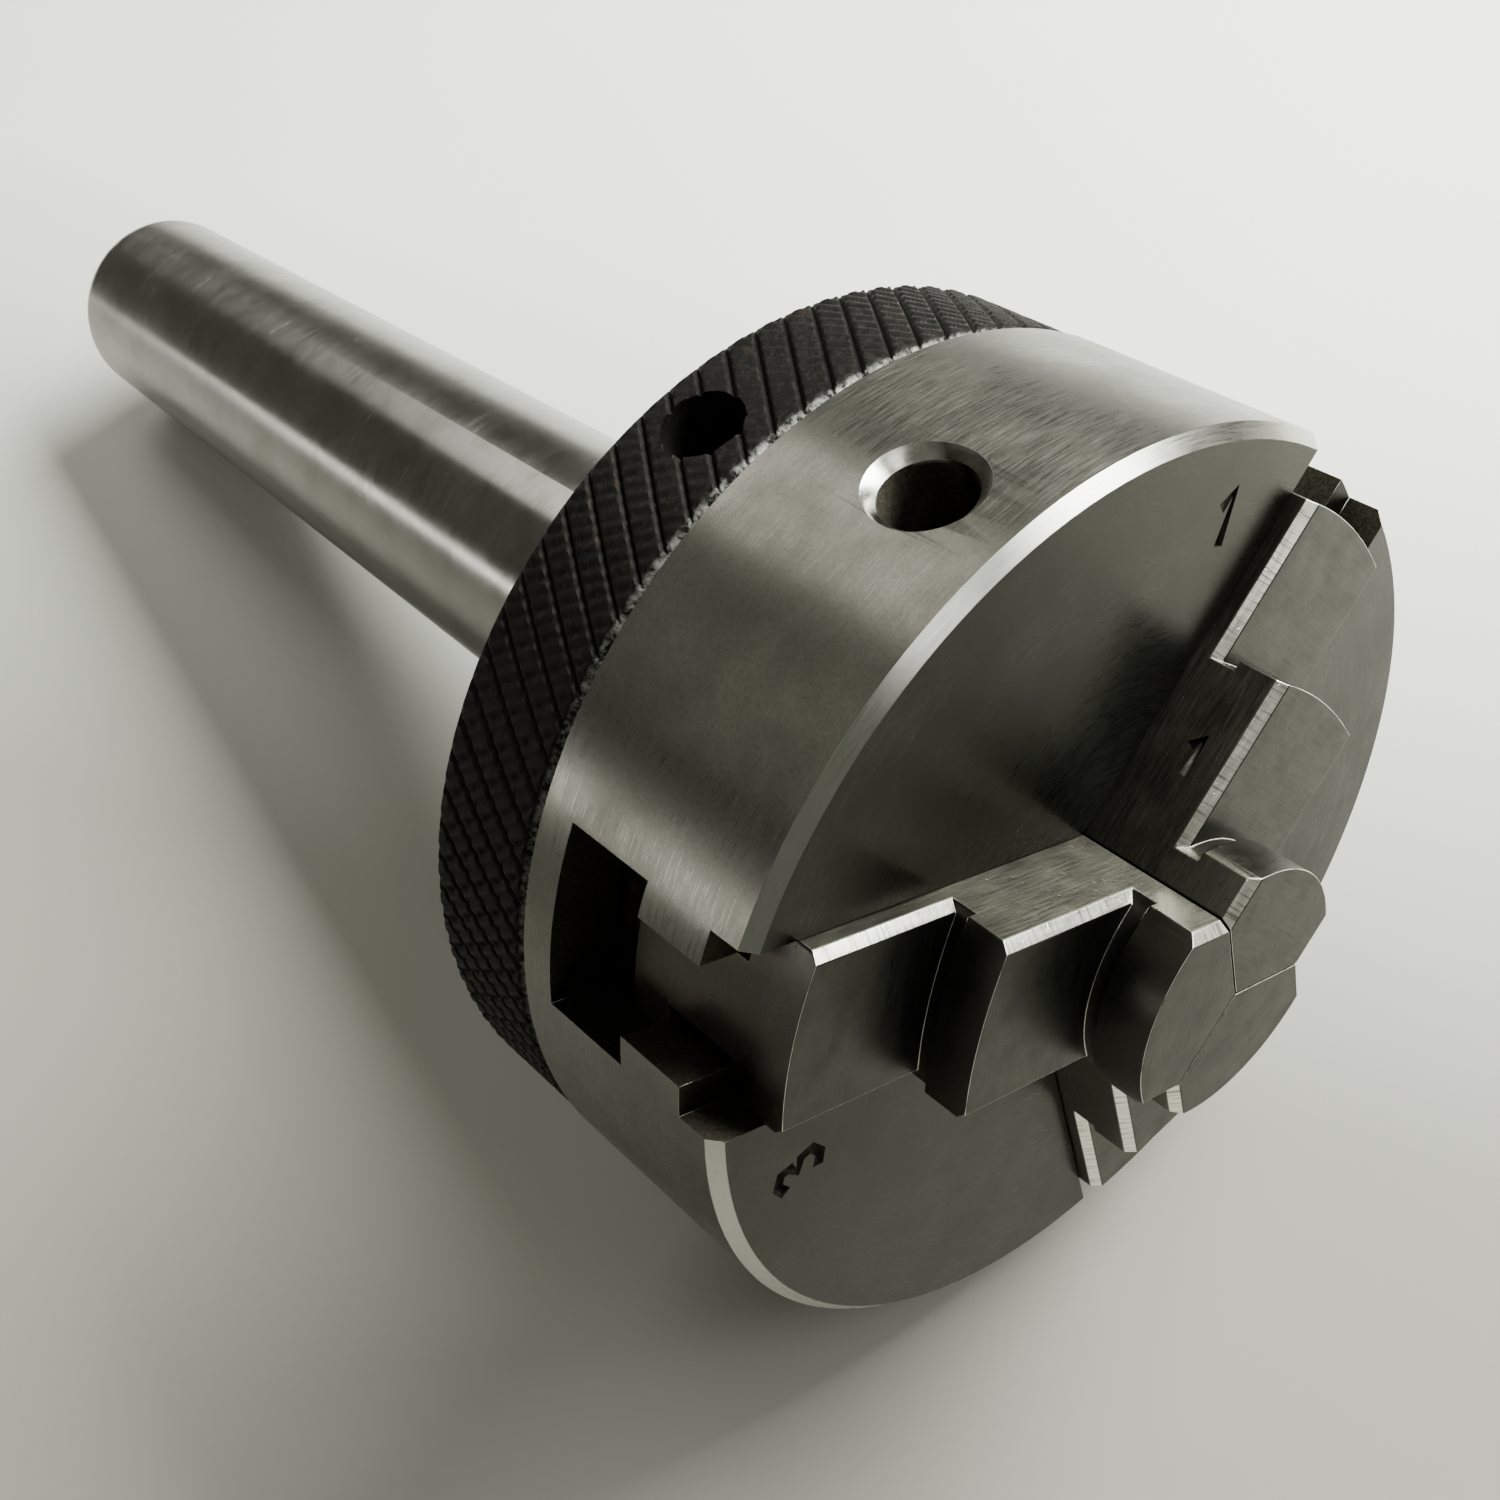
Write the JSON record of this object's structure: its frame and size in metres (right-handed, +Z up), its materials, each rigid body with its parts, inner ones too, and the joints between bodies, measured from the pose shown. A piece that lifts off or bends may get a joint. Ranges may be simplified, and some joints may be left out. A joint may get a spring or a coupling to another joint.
{
  "type": "lathe chuck",
  "caption": "Small self-centring scroll chuck with stepped jaws, a knurled turning ring and a Morse taper arbor.",
  "frame": {"origin": "on the chuck's axis, in the gauge plane of the shank's Morse taper", "axes": "+X along the axis from the shank to the jaws, +Z up, with jaw 2 pointing down and a bar hole of the body pointing up"},
  "size_m": [0.1095, 0.05, 0.05],
  "materials": {
    "ground_steel": "satin ground",
    "black_oxide": "black oxide, knurled",
    "hardened_steel": "oiled, turned",
    "bronze": "turned bronze",
    "polished_steel": "fine ground, nearly polished",
    "black_screw": "black oxide",
    "jaw_steel": "hardened and ground"
  },
  "bodies": {
    "chuck": {"chuck_body": "ground_steel", "thrust_washer": "bronze", "rear_flange": "ground_steel", "arbor": "polished_steel", "flange_screw_1": "black_screw", "flange_screw_2": "black_screw", "flange_screw_3": "black_screw"},
    "scroll_ring": {"knurled_ring": "black_oxide", "scroll_plate": "hardened_steel", "ring_pin_1": "hardened_steel", "ring_pin_2": "hardened_steel", "ring_pin_3": "hardened_steel"},
    "jaw_1_slide": {"jaw_1": "jaw_steel"},
    "jaw_2_slide": {"jaw_2": "jaw_steel"},
    "jaw_3_slide": {"jaw_3": "jaw_steel"}
  },
  "joints": [
    {"name": "ring_turn", "type": "hinge", "parent": "chuck", "child": "scroll_ring", "pos_m": [0.0085, 0, 0], "axis": [1, 0, 0], "range_deg": [0, 1200]},
    {"name": "jaw_1_travel", "type": "slide", "parent": "chuck", "child": "jaw_1_slide", "axis": [0, 0.866, 0.5], "range_m": [0, 0.01001]},
    {"name": "jaw_2_travel", "type": "slide", "parent": "chuck", "child": "jaw_2_slide", "axis": [0, 0, -1], "range_m": [0, 0.01001]},
    {"name": "jaw_3_travel", "type": "slide", "parent": "chuck", "child": "jaw_3_slide", "axis": [0, -0.866, 0.5], "range_m": [0, 0.01001]}
  ],
  "couplings": [
    {"joint": "jaw_1_travel", "follows": "ring_turn", "m_per_rad": 0.00047746},
    {"joint": "jaw_2_travel", "follows": "ring_turn", "m_per_rad": 0.00047746},
    {"joint": "jaw_3_travel", "follows": "ring_turn", "m_per_rad": 0.00047746}
  ]
}
